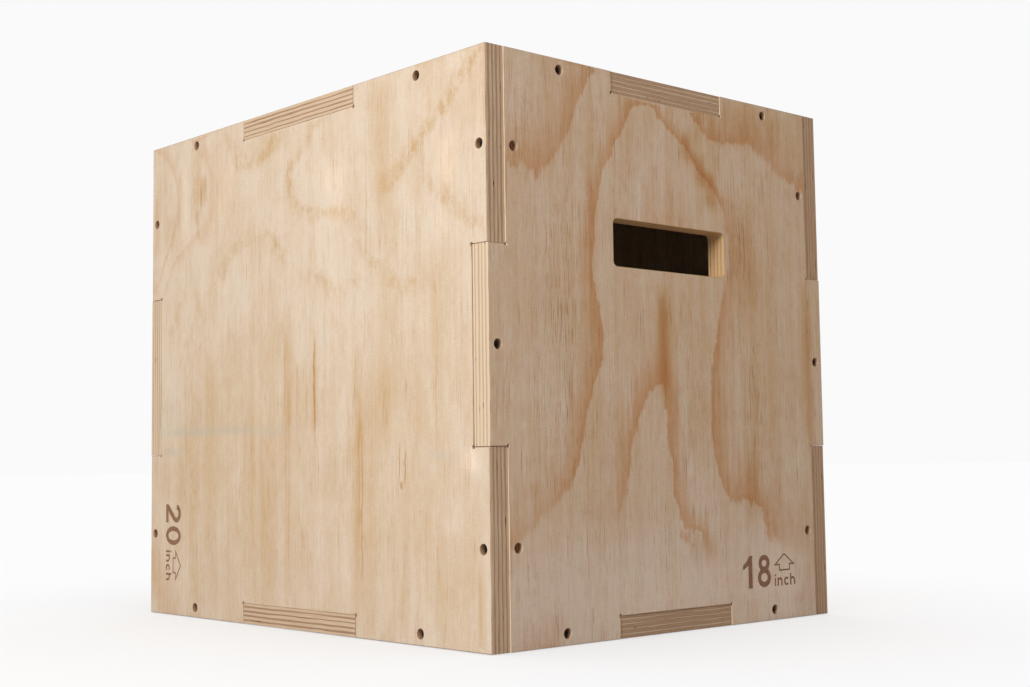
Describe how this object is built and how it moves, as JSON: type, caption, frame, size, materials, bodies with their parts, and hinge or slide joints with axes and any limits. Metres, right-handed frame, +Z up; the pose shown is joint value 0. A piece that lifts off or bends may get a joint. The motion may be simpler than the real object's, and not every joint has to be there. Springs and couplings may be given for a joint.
{
  "type": "plyometric jump box",
  "caption": "Closed plywood jump box with finger-jointed, screwed panels, a hand slot in each end and three usable heights.",
  "frame": {"origin": "middle of the base, on the surface that the box stands on", "axes": "+Z up, +X along the longest side, the two slotted panels face +X and -X, the front panel faces -Y"},
  "size_m": [0.508, 0.4064, 0.4572],
  "materials": {
    "plywood": "sanded, unvarnished softwood plywood",
    "screw": "dark phosphate-coated steel"
  },
  "bodies": {
    "root": {"front_panel": "plywood", "back_panel": "plywood", "right_panel": "plywood", "left_panel": "plywood", "top_panel": "plywood", "bottom_panel": "plywood", "front_top_screws": "screw", "front_bottom_screws": "screw", "front_left_screws": "screw", "front_right_screws": "screw", "back_top_screws": "screw", "back_bottom_screws": "screw", "back_left_screws": "screw", "back_right_screws": "screw", "right_top_screws": "screw", "right_bottom_screws": "screw", "right_finger_screws": "screw", "left_top_screws": "screw", "left_bottom_screws": "screw", "left_finger_screws": "screw", "top_side_finger_screws": "screw", "top_long_finger_screws": "screw", "bottom_side_finger_screws": "screw", "bottom_long_finger_screws": "screw"}
  },
  "joints": []
}
